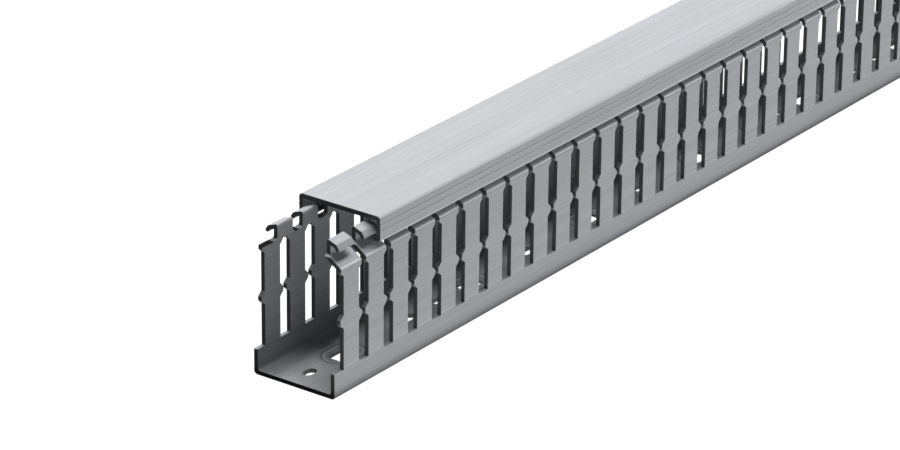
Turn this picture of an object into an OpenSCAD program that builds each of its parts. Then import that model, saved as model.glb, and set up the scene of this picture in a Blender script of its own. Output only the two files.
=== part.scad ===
// Slotted wiring duct: a U-shaped base channel with slotted side walls, and a cover that clips over their hooks.
// X runs across the duct, Y along it, Z up. The origin is under the middle of the whole, on the surface it stands on.

/* [Base channel] */
// Length of the base and of the cover
duct_len = 1000; // [200:100:2000]
// Outer width of the base
base_w = 32; // [32:1:60]
// Height of the shoulder, where the fingers bend inwards
shoulder_z = 43; // [42.5:0.25:43.5]
// Thickness of the walls and of the floor
wall_t = 1.5; // [1.3:0.1:1.9]
// Radius of the long outer edges of the floor
edge_r = 1.2; // [0.5:0.1:1.6]

/* [Fingers and slots] */
// Distance from one slot to the next
pitch = 12.7; // [12.5:0.1:20]
// Distance from the front end to the first finger of the right wall
first_at = 4.7; // [4.2:0.1:5.5]
// How much nearer the front end the slots of the left wall sit
side_shift = 0.8; // [0:0.1:1.2]
// Width of a slot between two fingers
slot_w = 5; // [4:0.1:6]
// Height of the solid wall below the slots
slot_z = 8.7; // [6:0.1:14]
// Height of the middle of the retaining nibs
nib_z = 25.2; // [20:0.1:30]
// How far each nib stands into the slot
nib_out = 1.65; // [0.1:0.05:1.9]
// Height of a nib at its root
nib_h = 4.6; // [3:0.1:6]
// Width of the slot between the shoulders of two fingers
shoulder_gap = 2.4; // [2:0.1:3.8]
// Width of the slot between the hooks of two fingers
hook_gap = 5; // [2:0.1:5.6]

/* [Hooks] */
// How far the neck of a finger stands in from the wall's outer face, middle of its thickness
neck_in = 5.9; // [5.4:0.1:6.6]
// Rise from the shoulder to the neck
neck_rise = 3.55; // [3:0.05:4]
// Radius between the shoulder and the neck, on the outer side
neck_r = 1.6; // [1:0.1:2]
// Rise from the shoulder to the crest of the hook
crest_rise = 7.7; // [7.4:0.1:8]
// How far the bend of the hook stands in from the wall's outer face, middle of its thickness
bend_in = 3.3; // [3.1:0.1:3.6]
// Drop from the crest to the bend of the hook
bend_drop = 0.9; // [0.7:0.1:1.1]
// How far the lip stands in from the wall's outer face, middle of its thickness
lip_in = 2.55; // [2.5:0.05:2.8]
// Drop from the crest to the lip of the hook
lip_drop = 1.95; // [1.7:0.05:2.2]
// Thickness of the hook from its crest to its lip
lip_t = 1.4; // [1:0.1:1.5]

/* [Cover] */
// Height of the cover's top over the floor the duct stands on
cover_z = 54.1; // [53.8:0.1:56]
// Height of the cover's lower edge
cover_low = 45.6; // [45.4:0.1:45.9]
// Thickness of the cover's plate
cover_t = 1.6; // [1.2:0.1:1.8]
// Thickness of the cover's side flanges
flange_t = 1.4; // [1:0.1:1.5]
// Radius of the cover's long top edges
cover_r = 1.3; // [0.8:0.1:1.6]
// How far the bead stands in from the cover's outer face
bead_in = 2.6; // [2.2:0.1:2.8]
// How far the cover is drawn back from the base's front end
cover_back = 23.2; // [0:0.1:60]

/* [Floor holes] */
// How far the row of holes sits from the middle, towards the left wall
holes_left = 0.8; // [0:0.1:1.5]
// Distance after which the row of holes repeats
hole_period = 67.7; // [67:0.1:80]
// Distance from the front end to the middle of the first short slot
short_at = 9; // [7:0.1:10]
// Length of a short slot
short_l = 5.5; // [5:0.1:7]
// Width of a short slot
short_w = 3.5; // [3:0.1:4.4]
// Distance from the front end to the middle of the first dished hole
dished_at = 26.2; // [23:0.1:28]
// Length of a dished hole
dished_l = 9; // [8:0.1:10]
// Width of a dished hole
dished_w = 5.6; // [4:0.1:5.6]
// Half the length of the dish around a dished hole
dish_half_l = 7.8; // [7:0.1:8.5]
// Half the width of the dish around a dished hole
dish_half_w = 5.3; // [5:0.1:6]
// Depth of the dish
dish_depth = 0.5; // [0.4:0.1:1]
// Distance from the front end to the middle of the first long slot
long_at = 59.2; // [50:0.1:60]
// Length of a long slot
long_l = 8.4; // [7:0.1:10]
// Width of a long slot
long_w = 3.8; // [3:0.1:5]

/* [Hidden] */
$fn = 48;
half_w = base_w / 2;
front_y = -(duct_len + cover_back) / 2;
back_y = front_y + duct_len;
slots = ceil(duct_len / pitch);
periods = ceil(duct_len / hole_period);
top_z = cover_z + 4;

// A flat strip of thickness t from p to q, with round ends. A slanted one has its flats 0.01 mm inside the
// rounds, so that they cross clearly and never just touch.
module strip(p, q, t) {
    d = q - p;
    flat = d[0] == 0 ? t : t - 0.02;
    translate(p) rotate(atan2(d[1], d[0])) translate([0, -flat / 2]) square([norm(d), flat]);
    translate(p) circle(d = t);
    translate(q) circle(d = t);
}

// One side of the base in section, at the right: wall, shoulder, neck, crest, bend and lip
module wall_section() {
    w = half_w - wall_t / 2;
    n = half_w - neck_in;
    crest = [n, shoulder_z + crest_rise];
    bend = [half_w - bend_in, shoulder_z + crest_rise - bend_drop];
    strip([w, edge_r], [w, shoulder_z], wall_t);
    strip([w, shoulder_z], [n, shoulder_z + neck_rise], wall_t);
    strip([n, shoulder_z + neck_rise], crest, wall_t);
    strip(crest, bend, lip_t);
    strip(bend, [half_w - lip_in, shoulder_z + crest_rise - lip_drop], lip_t);
    // the rounded corner between shoulder and neck, sunk 0.02 mm so that the round crosses both flats
    s = atan2(neck_rise, w - n);
    up = [sin(s), cos(s)];
    out = wall_t / 2 + neck_r - 0.02;
    cx = n + out;
    cz = shoulder_z + (w - cx) * tan(s) + out / cos(s);
    c = [cx, cz];
    difference() {
        polygon([c, [n, cz], [n, shoulder_z + neck_rise], c - (neck_r + wall_t / 3) * up]);
        translate(c) circle(r = neck_r);
    }
}

// The floor in section, with rounded outer edges and a small fillet at each wall
module floor_section() {
    f = 0.8;
    translate([-half_w + edge_r, 0]) square([base_w - 2 * edge_r, wall_t]);
    for (s = [-1, 1]) scale([s, 1]) {
        intersection() {
            translate([half_w - edge_r, edge_r]) circle(r = edge_r);
            translate([half_w - edge_r, 0]) square([edge_r, edge_r]);
        }
        translate([half_w - edge_r, edge_r]) square([edge_r, wall_t + f - edge_r]);
        translate([half_w - wall_t - 0.4, 0.6]) square([0.8, wall_t - 0.6]);
        difference() {
            translate([half_w - wall_t - f, wall_t - 0.3]) square([f + 0.3, f + 0.3]);
            translate([half_w - wall_t - f, wall_t + f]) circle(r = f);
        }
    }
}

module base_section() {
    floor_section();
    wall_section();
    mirror([1, 0]) wall_section();
}

// The outline of one slot seen from the side: y along the duct from the slot's middle, z up
module slot_outline() {
    h = slot_w / 2;
    g = shoulder_gap / 2;
    k = hook_gap / 2;
    n = h - nib_out;
    right = [
        [h, slot_z], [h, nib_z - nib_h / 2], [n, nib_z - 0.7], [n, nib_z + 0.7], [h, nib_z + nib_h / 2],
        [h, shoulder_z - 2.3], [g, shoulder_z - 1],
        [g, shoulder_z + neck_rise - 0.4], [k, shoulder_z + neck_rise + 0.2], [k, top_z]
    ];
    left = [for (i = [len(right) - 1 : -1 : 0]) [-right[i][0], right[i][1]]];
    polygon(concat(right, left));
}

// Where the middle of slot i lies, in the right wall (s = 1) or in the left one (s = -1)
function slot_y(i, s) = front_y + first_at - slot_w / 2 + i * pitch - (s < 0 ? side_shift : 0);

// One slot through one wall. The first one is open towards the front end.
module slot_cutter(i, s) {
    translate([s < 0 ? -half_w - 1 : 0, slot_y(i, s), 0]) rotate([90, 0, 90])
        linear_extrude(half_w + 1) slot_outline();
}

// The front end is cut inside the first slot, so that slot has no nib or ear in front of it
module front_cutter(s) {
    translate([s < 0 ? -half_w - 1 : 0, front_y - 1, slot_z]) cube([half_w + 1, 1 + slot_y(0, s) - front_y, top_z]);
}

// A slotted hole through the floor, long side along Y
module floor_slot(y, l, w) {
    translate([-holes_left, y, -1]) {
        for (s = [-1, 1]) translate([0, s * (l - w) / 2, 0]) cylinder(d = w, h = wall_t + 2);
        translate([-w / 2, -(l - w) / 2, 0]) cube([w, l - w, wall_t + 2]);
    }
}

// A rectangular hole in a shallow dish with sloping sides
module dished_hole(y) {
    slope = 2.4;
    a = dish_half_l - dish_half_w;
    b = dish_half_w - slope;
    over = 0.5;
    wide = dish_half_w + over * slope / dish_depth;
    c = 0.7;
    w = dished_w;
    l = dished_l;
    translate([-holes_left, y, 0]) {
        translate([-w / 2, -l / 2 + c, -1]) cube([w, l - 2 * c, wall_t + 2]);
        translate([-w / 2 + c, -l / 2, -1]) cube([w - 2 * c, l, wall_t + 2]);
        for (i = [-1, 1], j = [-1, 1]) translate([i * (w / 2 - c), j * (l / 2 - c), -1]) cylinder(r = c, h = wall_t + 2);
        for (s = [-1, 1]) translate([0, s * a, wall_t - dish_depth]) cylinder(r1 = b, r2 = wide, h = dish_depth + over);
        translate([0, a, wall_t - dish_depth]) rotate([90, 0, 0]) linear_extrude(2 * a)
            polygon([[-b, 0], [b, 0], [wide, dish_depth + over], [-wide, dish_depth + over]]);
    }
}

module base_channel() {
    color([0.6, 0.61, 0.63]) difference() {
        translate([0, back_y, 0]) rotate([90, 0, 0]) linear_extrude(duct_len) base_section();
        for (i = [0 : slots - 1], s = [-1, 1]) slot_cutter(i, s);
        for (s = [-1, 1]) front_cutter(s);
        for (i = [0 : periods - 1]) {
            y0 = front_y + i * hole_period;
            if (y0 + short_at < back_y - 6) floor_slot(y0 + short_at, short_l, short_w);
            if (y0 + dished_at < back_y - 10) dished_hole(y0 + dished_at);
            if (y0 + long_at < back_y - 8) floor_slot(y0 + long_at, long_l, long_w);
        }
    }
}

// Points of an arc about c, from angle a to angle b
function arc(c, r, a, b, n) = [for (i = [0 : n]) c + r * [cos(a + (b - a) * i / n), sin(a + (b - a) * i / n)]];

// A shallow V groove in the outer face of the cover's flange, d below the cover's top
function groove(d) = [[half_w, cover_z - d + 0.25], [half_w - 0.18, cover_z - d], [half_w, cover_z - d - 0.25]];

// The cover in section: plate, side flanges and the beads at their lower edge that grip under the lips
module cover_section() {
    inner = half_w - flange_t;
    tip = half_w - bead_in;
    right = concat(
        arc([half_w - cover_r, cover_z - cover_r], cover_r, 90, 0, 8),
        groove(2.7), groove(4.9),
        [[half_w, cover_low + 0.3], [half_w - 0.3, cover_low], [tip + 0.3, cover_low], [tip, cover_low + 0.35],
         [tip, cover_low + 0.8], [tip + 0.3, cover_low + 1.2], [inner, cover_low + 1.7]],
        arc([inner - 0.5, cover_z - cover_t - 0.5], 0.5, 0, 90, 4)
    );
    left = [for (i = [len(right) - 1 : -1 : 0]) [-right[i][0], right[i][1]]];
    polygon(concat(right, left));
}

module cover() {
    color([0.84, 0.84, 0.85]) translate([0, back_y + cover_back, 0]) rotate([90, 0, 0])
        linear_extrude(duct_len) cover_section();
}

base_channel();
cover();
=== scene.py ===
import bpy
import math
from mathutils import Matrix, Vector

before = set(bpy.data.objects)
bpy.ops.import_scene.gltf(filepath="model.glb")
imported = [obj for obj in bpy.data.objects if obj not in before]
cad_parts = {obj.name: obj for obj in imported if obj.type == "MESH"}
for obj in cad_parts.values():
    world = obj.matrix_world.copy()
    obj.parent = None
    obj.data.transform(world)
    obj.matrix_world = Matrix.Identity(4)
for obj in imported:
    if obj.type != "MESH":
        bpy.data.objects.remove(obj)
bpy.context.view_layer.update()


scene = bpy.context.scene

# ---------------------------------------------------------------- camera
AZ, PITCH, ROLL = -0.63171, 0.41488, 0.01003
FOCAL_PX = 4516.749
fwd = Vector((math.sin(AZ) * math.cos(PITCH), math.cos(AZ) * math.cos(PITCH), -math.sin(PITCH)))
r0 = Vector((math.cos(AZ), -math.sin(AZ), 0.0))
u0 = r0.cross(fwd)
right = math.cos(ROLL) * r0 + math.sin(ROLL) * u0
up = -math.sin(ROLL) * r0 + math.cos(ROLL) * u0
cam_data = bpy.data.cameras.new("camera")
cam_data.sensor_fit = "HORIZONTAL"
cam_data.sensor_width = 36.0
cam_data.lens = FOCAL_PX * 36.0 / 900.0
cam_data.clip_start = 0.05
cam_data.clip_end = 60.0
cam = bpy.data.objects.new("camera", cam_data)
scene.collection.objects.link(cam)
m = Matrix.Identity(4)
for i in range(3):
    m[i][0], m[i][1], m[i][2] = right[i], up[i], -fwd[i]
m[0][3], m[1][3], m[2][3] = 0.790323, -1.509969, 0.616263
cam.matrix_world = m
scene.camera = cam


# ---------------------------------------------------------------- node helpers
class Graph:
    """Builds a material's nodes with short calls."""

    def __init__(self, name):
        self.mat = bpy.data.materials.new(name)
        self.mat.use_nodes = True
        self.nt = self.mat.node_tree
        self.nt.nodes.clear()
        self.coord = self.nt.nodes.new("ShaderNodeTexCoord")
        sep = self.nt.nodes.new("ShaderNodeSeparateXYZ")
        self.nt.links.new(self.coord.outputs["Object"], sep.inputs[0])
        self.x, self.y, self.z = sep.outputs
        sn = self.nt.nodes.new("ShaderNodeSeparateXYZ")
        self.nt.links.new(self.coord.outputs["Normal"], sn.inputs[0])
        self.nx, self.ny, self.nz = sn.outputs

    def put(self, socket, v):
        if isinstance(v, bpy.types.NodeSocket):
            self.nt.links.new(v, socket)
        else:
            socket.default_value = v

    def math(self, op, a, b=0.0, c=None, clamp=False):
        n = self.nt.nodes.new("ShaderNodeMath")
        n.operation = op
        n.use_clamp = clamp
        self.put(n.inputs[0], a)
        self.put(n.inputs[1], b)
        if c is not None:
            self.put(n.inputs[2], c)
        return n.outputs[0]

    def noise(self, scale, detail=3.0, rough=0.55, shift=(0, 0, 0)):
        mp = self.nt.nodes.new("ShaderNodeMapping")
        mp.inputs["Scale"].default_value = scale
        mp.inputs["Location"].default_value = shift
        self.nt.links.new(self.coord.outputs["Object"], mp.inputs["Vector"])
        n = self.nt.nodes.new("ShaderNodeTexNoise")
        n.inputs["Scale"].default_value = 1.0
        n.inputs["Detail"].default_value = detail
        n.inputs["Roughness"].default_value = rough
        self.nt.links.new(mp.outputs[0], n.inputs["Vector"])
        return n.outputs["Fac"]

    def remap(self, v, a, b, c, d, smooth=False):
        n = self.nt.nodes.new("ShaderNodeMapRange")
        n.interpolation_type = "SMOOTHSTEP" if smooth else "LINEAR"
        n.clamp = True
        self.put(n.inputs["Value"], v)
        for k, w in zip(("From Min", "From Max", "To Min", "To Max"), (a, b, c, d)):
            n.inputs[k].default_value = w
        return n.outputs["Result"]

    def pulse(self, v, at, half):
        """1 on the line v = at, falling to 0 at half away from it."""
        d = self.math("ABSOLUTE", self.math("SUBTRACT", v, at))
        return self.remap(d, half * 0.35, half, 1.0, 0.0, smooth=True)

    def mix(self, f, a, b):
        n = self.nt.nodes.new("ShaderNodeMix")
        n.data_type = "RGBA"
        self.put(n.inputs["Factor"], f)
        self.put(n.inputs["A"], a)
        self.put(n.inputs["B"], b)
        return n.outputs["Result"]

    def scale_colour(self, col, f):
        n = self.nt.nodes.new("ShaderNodeVectorMath")
        n.operation = "SCALE"
        self.put(n.inputs[0], col)
        self.put(n.inputs["Scale"], f)
        return n.outputs[0]

    def edges(self, radius):
        """1 where a sharp edge is near, 0 on the flat."""
        b = self.nt.nodes.new("ShaderNodeBevel")
        b.samples = 6
        b.inputs["Radius"].default_value = radius
        g = self.nt.nodes.new("ShaderNodeNewGeometry")
        d = self.nt.nodes.new("ShaderNodeVectorMath")
        d.operation = "DOT_PRODUCT"
        self.nt.links.new(b.outputs[0], d.inputs[0])
        self.nt.links.new(g.outputs["True Normal"], d.inputs[1])
        self.bevel = b.outputs[0]
        return self.remap(d.outputs["Value"], 0.78, 0.995, 1.0, 0.0)

    def surface(self, colour, rough, height, distance, spec=0.4, normal=None):
        bump = self.nt.nodes.new("ShaderNodeBump")
        bump.inputs["Strength"].default_value = 1.0
        bump.inputs["Distance"].default_value = distance
        self.put(bump.inputs["Height"], height)
        if normal is not None:
            self.nt.links.new(normal, bump.inputs["Normal"])
        p = self.nt.nodes.new("ShaderNodeBsdfPrincipled")
        self.put(p.inputs["Base Color"], colour)
        self.put(p.inputs["Roughness"], rough)
        p.inputs["Specular IOR Level"].default_value = spec
        self.nt.links.new(bump.outputs[0], p.inputs["Normal"])
        out = self.nt.nodes.new("ShaderNodeOutputMaterial")
        self.nt.links.new(p.outputs[0], out.inputs["Surface"])
        return self.mat


def drawn_grain(g):
    """The lengthwise drawing marks of an extrusion: (tone, height), both around 0."""
    coarse = g.noise((330.0, 2.2, 330.0), 4.0, 0.6)
    fine = g.noise((1500.0, 7.0, 1500.0), 3.0, 0.6, (3.1, 0.7, 1.9))
    cloud = g.noise((38.0, 14.0, 38.0), 2.0, 0.5, (7.0, 2.0, 5.0))
    speck = g.noise((1800.0, 1800.0, 1800.0), 2.0, 0.5, (1.0, 9.0, 4.0))
    tone = g.math("MULTIPLY", g.math("SUBTRACT", coarse, 0.5), 0.32)
    tone = g.math("ADD", tone, g.math("MULTIPLY", g.math("SUBTRACT", fine, 0.5), 0.42))
    tone = g.math("ADD", tone, g.math("MULTIPLY", g.math("SUBTRACT", cloud, 0.5), 0.14))
    tone = g.math("ADD", tone, g.math("MULTIPLY", g.math("SUBTRACT", speck, 0.5), 0.16))
    height = g.math("ADD", g.math("MULTIPLY", coarse, 0.55), g.math("MULTIPLY", fine, 0.35))
    height = g.math("ADD", height, g.math("MULTIPLY", speck, 0.10))
    return tone, height


def base_material():
    g = Graph("pvc_base")
    tone, height = drawn_grain(g)
    # painted highlight: the colour is made lighter within about 0.28 mm of a sharp edge, on the skin and on the cut
    # faces
    edge = g.edges(0.00028)
    # lines that the die leaves: just above the foot of the slots, at the nibs and at the shoulder's bend; they are
    # bumped in as grooves and drawn lighter as a painted highlight, and the bend's much lighter line is whitened
    # plastic plus a painted highlight on the rounded bend
    score = g.pulse(g.z, 0.0094, 0.00032)
    nib = g.pulse(g.z, 0.0252, 0.00025)
    bend = g.math("MULTIPLY", g.pulse(g.z, 0.0434, 0.00070), g.remap(g.math("ABSOLUTE", g.nx), 0.35, 0.50, 0.0, 1.0))
    walls = g.remap(g.math("ABSOLUTE", g.nx), 0.55, 0.80, 0.0, 1.0)
    die_lines_and_highlights = g.math("ADD", g.math("MULTIPLY", score, 1.0), g.math("MULTIPLY", nib, 0.25))
    die_lines_and_highlights = g.math("ADD", g.math("MULTIPLY", die_lines_and_highlights, walls), g.math("MULTIPLY", bend, 3.2))
    # painted light and shade of the pressed dishes: a lighter ring just inside each rim and a darker ring just
    # outside it stand in for the light and shade on the dish's slopes
    along = g.math("WRAP", g.math("ADD", g.y, 0.5116 - 0.0262), 0.03385, -0.03385)
    past = g.math("MAXIMUM", g.math("SUBTRACT", g.math("ABSOLUTE", along), 0.0025), 0.0)
    across = g.math("ADD", g.x, 0.0008)
    away = g.math("SQRT", g.math("ADD", g.math("MULTIPLY", past, past), g.math("MULTIPLY", across, across)))
    upper = g.math("MULTIPLY", g.remap(g.z, 0.0006, 0.0008, 0.0, 1.0), g.remap(g.z, 0.0016, 0.0017, 1.0, 0.0))
    dish_rim_light_and_shade = g.math("SUBTRACT", g.math("MULTIPLY", g.pulse(away, 0.0048, 0.0006), 0.55),
                 g.math("MULTIPLY", g.pulse(away, 0.0056, 0.0006), 0.45))
    dish_rim_light_and_shade = g.math("MULTIPLY", dish_rim_light_and_shade, upper)
    # painted shade: the sawn and punched faces, which face along the duct's length, get a near-black colour standing
    # in for the shade they are in; they are also rougher and bumpier than the drawn skin
    cut_faces_painted_dark = g.remap(g.math("ABSOLUTE", g.ny), 0.6, 0.8, 0.0, 1.0)
    # the colour gain: the grain's tone, the painted highlights of the lines and edges, and the painted light and
    # shade of the dish rims
    gain = g.math("ADD", g.math("ADD", tone, 1.0), g.math("MULTIPLY", die_lines_and_highlights, 0.22))
    gain = g.math("ADD", g.math("ADD", gain, dish_rim_light_and_shade), g.math("MULTIPLY", edge, 0.75))
    skin = g.scale_colour((0.425, 0.435, 0.455), gain)
    rough_cut = g.noise((2600.0, 2600.0, 2600.0), 3.0, 0.7, (4.0, 4.0, 8.0))
    cut_shade_gain = g.math("ADD", g.remap(rough_cut, 0.3, 0.7, 0.8, 1.2), g.math("MULTIPLY", edge, 0.7))
    cut_painted_shade_col = g.scale_colour((0.085, 0.087, 0.092), cut_shade_gain)
    col = g.mix(cut_faces_painted_dark, skin, cut_painted_shade_col)
    # painted light: the walls of the holes punched through the floor get a near-white colour, standing in for the
    # bright floor seen through the holes, where the walls would be in shade
    near_mid = g.remap(g.math("ABSOLUTE", g.math("ADD", g.x, 0.0008)), 0.0029, 0.0031, 1.0, 0.0)
    low = g.remap(g.z, 0.00150, 0.00158, 1.0, 0.0)
    steep = g.remap(g.math("ABSOLUTE", g.nz), 0.5, 0.6, 1.0, 0.0)
    inside = g.remap(g.y, -0.5112, -0.5108, 0.0, 1.0)
    inside = g.math("MULTIPLY", inside, g.remap(g.y, 0.4860, 0.4870, 1.0, 0.0))
    hole_walls_painted_light = g.math("MULTIPLY", g.math("MULTIPLY", near_mid, low), g.math("MULTIPLY", steep, inside))
    hole_wall_painted_white = g.scale_colour((0.86, 0.86, 0.85), g.remap(rough_cut, 0.3, 0.7, 0.94, 1.04))
    col = g.mix(hole_walls_painted_light, col, hole_wall_painted_white)
    rough = g.math("ADD", g.remap(height, 0.3, 0.7, 0.42, 0.56), g.math("MULTIPLY", cut_faces_painted_dark, 0.25))
    h = g.math("SUBTRACT", height, g.math("MULTIPLY", die_lines_and_highlights, 1.6))
    h = g.math("ADD", h, g.math("MULTIPLY", g.math("MULTIPLY", cut_faces_painted_dark, rough_cut), 1.5))
    return g.surface(col, rough, h, 0.00004, 0.4, g.bevel)


def cover_material():
    g = Graph("pvc_cover")
    tone, height = drawn_grain(g)
    # painted highlight: the colour is made lighter within about 0.28 mm of a sharp edge, on the skin and on the cut
    # faces
    edge = g.edges(0.00028)
    # painted shade: faces that face along the length get the near-black colour below, and are rougher and bumpier
    # than the skin
    cut_faces_painted_dark = g.remap(g.math("ABSOLUTE", g.ny), 0.6, 0.8, 0.0, 1.0)
    # painted highlights: lighter lines on the cover's sides along the top edge, under each groove and along the
    # lower edge
    sides = g.remap(g.math("ABSOLUTE", g.nx), 0.45, 0.70, 0.0, 1.0)
    painted_highlight_lines = g.math("ADD", g.math("MULTIPLY", g.pulse(g.z, 0.0510, 0.00032), 0.26),
                   g.math("MULTIPLY", g.pulse(g.z, 0.0489, 0.00032), 0.28))
    painted_highlight_lines = g.math("ADD", painted_highlight_lines, g.math("MULTIPLY", g.pulse(g.z, 0.0462, 0.00040), 0.45))
    painted_highlight_lines = g.math("ADD", painted_highlight_lines, g.math("MULTIPLY", g.pulse(g.z, 0.0537, 0.00040), 0.45))
    gain = g.math("ADD", g.math("ADD", tone, 1.0), g.math("MULTIPLY", edge, 0.45))
    gain = g.math("ADD", gain, g.math("MULTIPLY", painted_highlight_lines, sides))
    skin = g.scale_colour((0.43, 0.44, 0.455), gain)
    rough_cut = g.noise((2600.0, 2600.0, 2600.0), 3.0, 0.7, (4.0, 4.0, 8.0))
    cut_shade_gain = g.math("ADD", g.remap(rough_cut, 0.3, 0.7, 0.8, 1.2), g.math("MULTIPLY", edge, 0.7))
    cut_painted_shade_col = g.scale_colour((0.085, 0.087, 0.092), cut_shade_gain)
    col = g.mix(cut_faces_painted_dark, skin, cut_painted_shade_col)
    rough = g.math("ADD", g.remap(height, 0.3, 0.7, 0.40, 0.54), g.math("MULTIPLY", cut_faces_painted_dark, 0.25))
    h = g.math("ADD", height, g.math("MULTIPLY", g.math("MULTIPLY", cut_faces_painted_dark, rough_cut), 1.5))
    return g.surface(col, rough, h, 0.00004, 0.4, g.bevel)


for node, mat in (("base_channel", base_material()), ("cover", cover_material())):
    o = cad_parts[node]
    o.data.materials.clear()
    o.data.materials.append(mat)
    for p in o.data.polygons:
        p.material_index = 0


# ---------------------------------------------------------------- floor and backdrop
def stage_mesh(name, verts, faces, mat):
    me = bpy.data.meshes.new(name)
    me.from_pydata(verts, [], faces)
    me.materials.append(mat)
    o = bpy.data.objects.new(name, me)
    scene.collection.objects.link(o)
    return o


# a shadowless light table: it glows white by itself, and the panels below carry its light to the duct
fm = bpy.data.materials.new("pale_floor")
fm.use_nodes = True
fb = fm.node_tree.nodes["Principled BSDF"]
fb.inputs["Base Color"].default_value = (0.2, 0.2, 0.2, 1.0)
fb.inputs["Roughness"].default_value = 0.9
fb.inputs["Specular IOR Level"].default_value = 0.1
fb.inputs["Emission Color"].default_value = (1.0, 1.0, 1.0, 1.0)
fb.inputs["Emission Strength"].default_value = 1.0
S = 14.0
floor = stage_mesh("floor", [(-S, -S, 0), (S, -S, 0), (S, S, 0), (-S, S, 0)], [(0, 1, 2, 3)], fm)
floor.visible_diffuse = False
floor.visible_glossy = False

world = bpy.data.worlds.new("world")
scene.world = world
world.use_nodes = True
bg = world.node_tree.nodes["Background"]
bg.inputs["Color"].default_value = (0.95, 0.97, 1.0, 1.0)
bg.inputs["Strength"].default_value = 0.02


# ---------------------------------------------------------------- studio light
def softbox(name, place, target, size, power, colour=(1.0, 1.0, 1.0)):
    d = bpy.data.lights.new(name, "AREA")
    d.shape = "RECTANGLE"
    d.size, d.size_y = size
    d.energy = power
    d.color = colour
    o = bpy.data.objects.new(name, d)
    scene.collection.objects.link(o)
    o.location = place
    o.rotation_mode = "QUATERNION"
    o.rotation_quaternion = (Vector(target) - Vector(place)).to_track_quat("-Z", "Y")
    return o


def table_panel(name, x0, x1, y0, y1, glow):
    """A glowing panel flush with the table, facing up. glow is its radiance."""
    size = (x1 - x0, y1 - y0)
    c = ((x0 + x1) / 2.0, (y0 + y1) / 2.0, 0.0001)
    o = softbox(name, c, (c[0], c[1], 1.0), size, glow * math.pi * size[0] * size[1], (1.0, 1.0, 1.0))
    o.rotation_quaternion = (0.0, 1.0, 0.0, 0.0)
    o.visible_camera = False
    return o


softbox("overhead", (0.12, 0.6, 2.2), (0.12, 0.3, 0.0), (0.7, 2.4), 60.0, (0.98, 0.99, 1.0))
softbox("left_high", (-1.7, 0.2, 1.5), (0.0, -0.2, 0.0), (2.2, 1.2), 50.0, (0.98, 0.99, 1.0))
table_panel("table_right", 0.0185, 0.9, -0.62, 1.4, 1.27)
table_panel("table_left", -0.9, -0.0185, -0.56, 1.4, 0.3)
table_panel("table_front", -0.6, 0.6, -1.4, -0.62, 0.1)

scene.view_settings.view_transform = "Standard"
scene.view_settings.look = "None"
scene.view_settings.exposure = 0.0
scene.view_settings.gamma = 1.0
